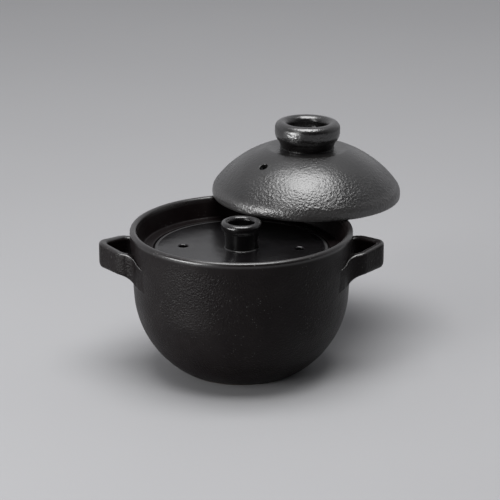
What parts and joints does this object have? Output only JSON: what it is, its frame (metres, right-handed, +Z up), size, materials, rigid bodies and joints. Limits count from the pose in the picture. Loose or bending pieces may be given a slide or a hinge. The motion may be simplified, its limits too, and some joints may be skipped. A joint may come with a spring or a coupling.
{
  "type": "ceramic rice pot",
  "caption": "Dark ceramic rice pot with loop handles, a flat inner lid seated in its mouth and a domed outer lid leaning on the back of the rim.",
  "frame": {"origin": "centre of the foot, on the surface the pot stands on", "axes": "+Z up along the pot's axis, +X along the two handles to the side the outer lid is set down on, +Y to the back, away from the camera"},
  "size_m": [0.2682, 0.2779, 0.1967],
  "materials": {
    "body_glaze": "near-black crinkled satin glaze",
    "inner_glaze": "near-black smooth satin glaze",
    "outer_glaze": "near-black crinkled satin glaze, smoother on the knob"
  },
  "bodies": {
    "root": {"pot": "body_glaze", "inner_lid": "inner_glaze", "outer_lid": "outer_glaze"}
  },
  "joints": []
}
